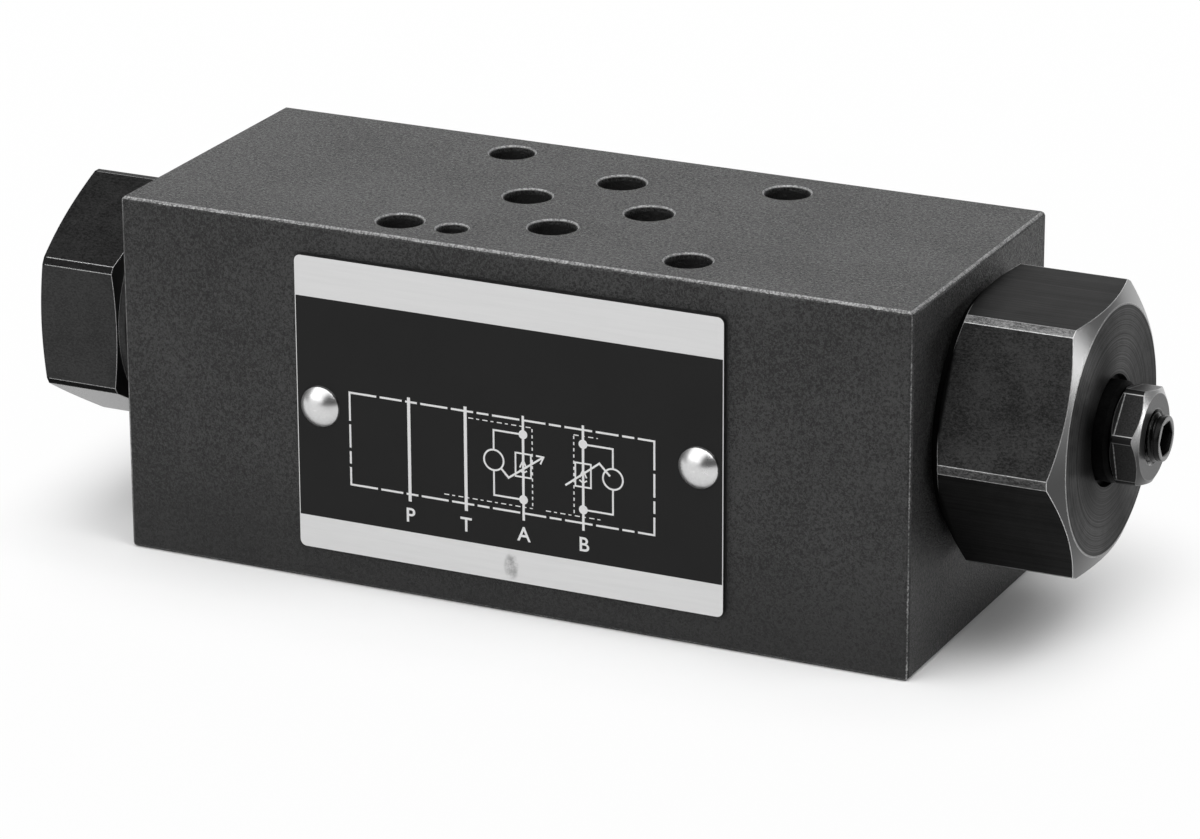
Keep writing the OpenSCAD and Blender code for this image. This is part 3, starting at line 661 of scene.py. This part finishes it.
def threaded_screw():
    """The adjusting screw with its fine thread, plain tip and key socket, for the plain CAD screw."""
    low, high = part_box("adjusting_screw")
    start, end = low.x / MM, high.x / MM
    count, pitch, root, crest = 96, 1.0, 2.72, 3.2
    thread_from, tip_l, tip_r, socket, depth = start + 2.0, 0.8, 2.95, 2.0, 5.0
    thread_to = end - tip_l

    def ring(x, radius):
        return [(x, radius(t) * math.cos(t), ADJUSTER_Z + radius(t) * math.sin(t)) for t in turn(count)]

    def even(x, r):
        return ring(x, lambda t: r)

    def thread(x):
        fade = min(1.0, (x - thread_from) / 0.8, max(0.0, (thread_to - x) / 0.5))

        def radius(t):
            phase = ((x - start) / pitch - t / (2 * math.pi)) % 1.0
            height = min(1.0, max(0.0, (abs(phase - 0.5) * 2 - 0.14) / 0.68))
            return root + (crest - root) * height * fade
        return radius

    def hexagon(t):
        return socket / math.cos((t % (math.pi / 3)) - math.pi / 6)

    rings = [even(start, 0.6), even(start, 2.3), even(start + 0.15, 2.47), even(start + 1.0, 2.47),
             even(thread_from, root)]
    steps = int((thread_to - thread_from) / (pitch / 14))
    for k in range(1, steps + 1):
        x = thread_from + (thread_to - thread_from) * k / steps
        rings.append(ring(x, thread(x)))
    rings += [even(thread_to + 0.03, tip_r - 0.06), even(thread_to + 0.1, tip_r), even(end - 0.15, tip_r),
              even(end - 0.04, tip_r - 0.06), even(end, tip_r - 0.16), even(end, 2.5),
              ring(end - 0.05, lambda t: hexagon(t) * 1.03), ring(end - 0.2, hexagon),
              ring(end - depth, hexagon), even(end - depth - 0.8, 0.9), even(end - depth - 1.2, 0.05)]
    bm = bmesh.new()
    rows = rings_to_faces(bm, rings)
    bm.faces.new(rows[0])
    bm.faces.new(rows[-1])
    mesh = mesh_of("threaded_screw", bm)
    obj = piece("threaded_screw", mesh, looks["screw_steel"], "screw", smooth=38.0)
    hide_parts("adjusting_screw")


threaded_screw()


def coil(name, node, axis_z, way, turns):
    """Turns of a relief spring, for the CAD spring."""
    count, sides, coils, wire, middle = 36, 14, 7, 0.85, 4.4
    low, high = (point.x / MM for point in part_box(node))
    foot, length = (low if way > 0 else high), high - low
    closed = 2.2 * wire
    pitch = (length - 2 * wire - 2 * closed) / (coils - 2)

    def height(t):
        end_turns = min(t, 1.0) + max(t - coils + 1.0, 0.0)
        return wire + closed * end_turns + pitch * min(max(t - 1.0, 0.0), coils - 2.0)

    rings = []
    for i in range(round(turns[0] * count), round(turns[1] * count) + 1):
        a, ring = 2 * math.pi * i / count, []
        for j in range(sides):
            b = 2 * math.pi * j / sides
            r = middle + wire * math.cos(b)
            ring.append((foot + way * (height(i / count) - (wire - 0.005) * math.sin(b)), r * math.sin(a),
                         axis_z - way * r * math.cos(a)))
        rings.append(ring)
    bm = bmesh.new()
    rows = rings_to_faces(bm, rings)
    bm.faces.new(rows[0])
    bm.faces.new(rows[-1])
    obj = piece(name, mesh_of(name, bm), looks["spring_steel"], None, smooth=50.0)
    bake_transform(obj)
    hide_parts(node)


# Both ends of spring A move, so it is two pieces that meet a third of the way along
MEETING = 2.55
coil("relief_coils_a_poppet", "relief_spring_a", ADJUSTER_Z, 1, (0, MEETING))
coil("relief_coils_a_guide", "relief_spring_a", ADJUSTER_Z, 1, (MEETING, 7))
coil("relief_coils_b", "relief_spring_b", END_Z, -1, (0, 7))


# Floor, light and camera

FLOOR_RADIUS, FLOOR_GAP = 20.0, 0.00002
# How white the floor is by itself, near the block and beyond the shadow, and where the change lies
FLOOR_WHITE, SHADOW_REACH = (0.06, 1.0), (7.0, 28.0)
# Directions of the room light, where each begins and is full, and how much it adds
SKY_BASE = 0.05
SKY = (((-0.43, 0.88, 0.1), 0.65, 0.97, 1.5), ((0, 0, 1), 0.55, 1.0, 0.4),
       ((-0.85, -0.4, 0.35), 0.3, 0.95, 0.3), ((-0.5, -0.85, 0.12), 0.72, 0.97, 0.7))
# Lamps: place, target, size and power
LAMPS = {
    "key": ((-0.45, -0.75, 1.15), (0, 0, 0.02), (1.9, 1.9), 15.4),
    "top": ((0.75, -0.15, 1.1), (0.03, 0, 0.02), (0.8, 0.8), 8.0),
    "panel": ((1.25, 0.55, 0.2), (0.07, 0, 0.03), (0.5, 0.3), 3.2),
}
CAMERA_PLACE, CAMERA_LENS = (0.29605, -0.6172, 0.2686), 166.1
CAMERA_FORWARD, CAMERA_UP = (-0.406, 0.8475, -0.342), (-0.1438, 0.3103, 0.9397)


def floor():
    """White card: it takes the shadow near the part and is plain white further off."""
    bm = bmesh.new()
    bmesh.ops.create_circle(bm, cap_ends=True, segments=64, radius=FLOOR_RADIUS,
                            matrix=Matrix.Translation((0, 0, cad_box[0][2] - FLOOR_GAP)))
    mesh = mesh_of("floor", bm)
    obj = bpy.data.objects.new("floor", mesh)
    scene.collection.objects.link(obj)
    look = Look("floor_card", Roughness=0.9, Specular_IOR_Level=0.1, Emission_Color=grey(0.98))
    path = look.new("ShaderNodeLightPath")
    seen = look.most(path.outputs["Is Camera Ray"],
                     look.most(path.outputs["Is Glossy Ray"], path.outputs["Is Transmission Ray"]))
    paper = look.mix(look.step(look.noise(0.02, 3.0), 0.3, 0.7), 0.9, 0.92)
    beyond = look.sub(look.absolute(look.sub(look.x, BODY_X)), BODY_HALF[0])
    beside = look.sub(look.absolute(look.y), BODY_HALF[1])
    beyond, beside = look.most(beyond, 0.0), look.most(beside, 0.0)
    white = look.spread(look.step(look.length(beyond, beside), *SHADOW_REACH), 0.0, 1.0, *FLOOR_WHITE)
    look.set(Base_Color=look.mix(seen, 0.28, look.mix(white, paper, 0.0)),
             Emission_Strength=look.mul(seen, white))
    mesh.materials.append(look.mat)


def area(name, place, target, size, power):
    data = bpy.data.lights.new(name, "AREA")
    data.shape, data.size, data.size_y, data.energy = "RECTANGLE", size[0], size[1], power
    obj = bpy.data.objects.new(name, data)
    obj.location = place
    obj.rotation_euler = (Vector(target) - Vector(place)).to_track_quat("-Z", "Y").to_euler()
    obj.visible_camera = False
    scene.collection.objects.link(obj)


def sky():
    """Soft room light, brighter low at the back left and darker at the front right."""
    world = bpy.data.worlds.new("studio")
    world.use_nodes = True
    scene.world = world
    tree = world.node_tree
    way = tree.nodes.new("ShaderNodeTexCoord").outputs["Generated"]
    level = 0.0
    for direction, low, high, amount in SKY:
        dot = tree.nodes.new("ShaderNodeVectorMath")
        dot.operation = "DOT_PRODUCT"
        dot.inputs[1].default_value = Vector(direction).normalized()
        tree.links.new(way, dot.inputs[0])
        glow = tree.nodes.new("ShaderNodeMapRange")
        glow.interpolation_type = "SMOOTHSTEP"
        for i, value in ((1, low), (2, high), (3, 0.0), (4, amount)):
            glow.inputs[i].default_value = value
        tree.links.new(dot.outputs["Value"], glow.inputs[0])
        add = tree.nodes.new("ShaderNodeMath")
        tree.links.new(glow.outputs[0], add.inputs[0])
        if level:
            tree.links.new(level, add.inputs[1])
        else:
            add.inputs[1].default_value = SKY_BASE
        level = add.outputs[0]
    tree.links.new(level, tree.nodes["Background"].inputs["Color"])


def camera():
    data = bpy.data.cameras.new("camera")
    data.sensor_fit, data.sensor_width, data.lens = "HORIZONTAL", 36.0, CAMERA_LENS
    data.clip_start, data.clip_end = 0.01, 100.0
    obj = bpy.data.objects.new("camera", data)
    forward, up = Vector(CAMERA_FORWARD).normalized(), Vector(CAMERA_UP)
    right = forward.cross(up).normalized()
    up = right.cross(forward)
    aim = Matrix((right, up, -forward)).transposed().to_4x4()
    obj.matrix_world = Matrix.Translation(CAMERA_PLACE) @ aim
    scene.collection.objects.link(obj)
    scene.camera = obj


floor()
for name, lamp in LAMPS.items():
    area(name, *lamp)
sky()
camera()
scene.view_settings.view_transform = "Standard"
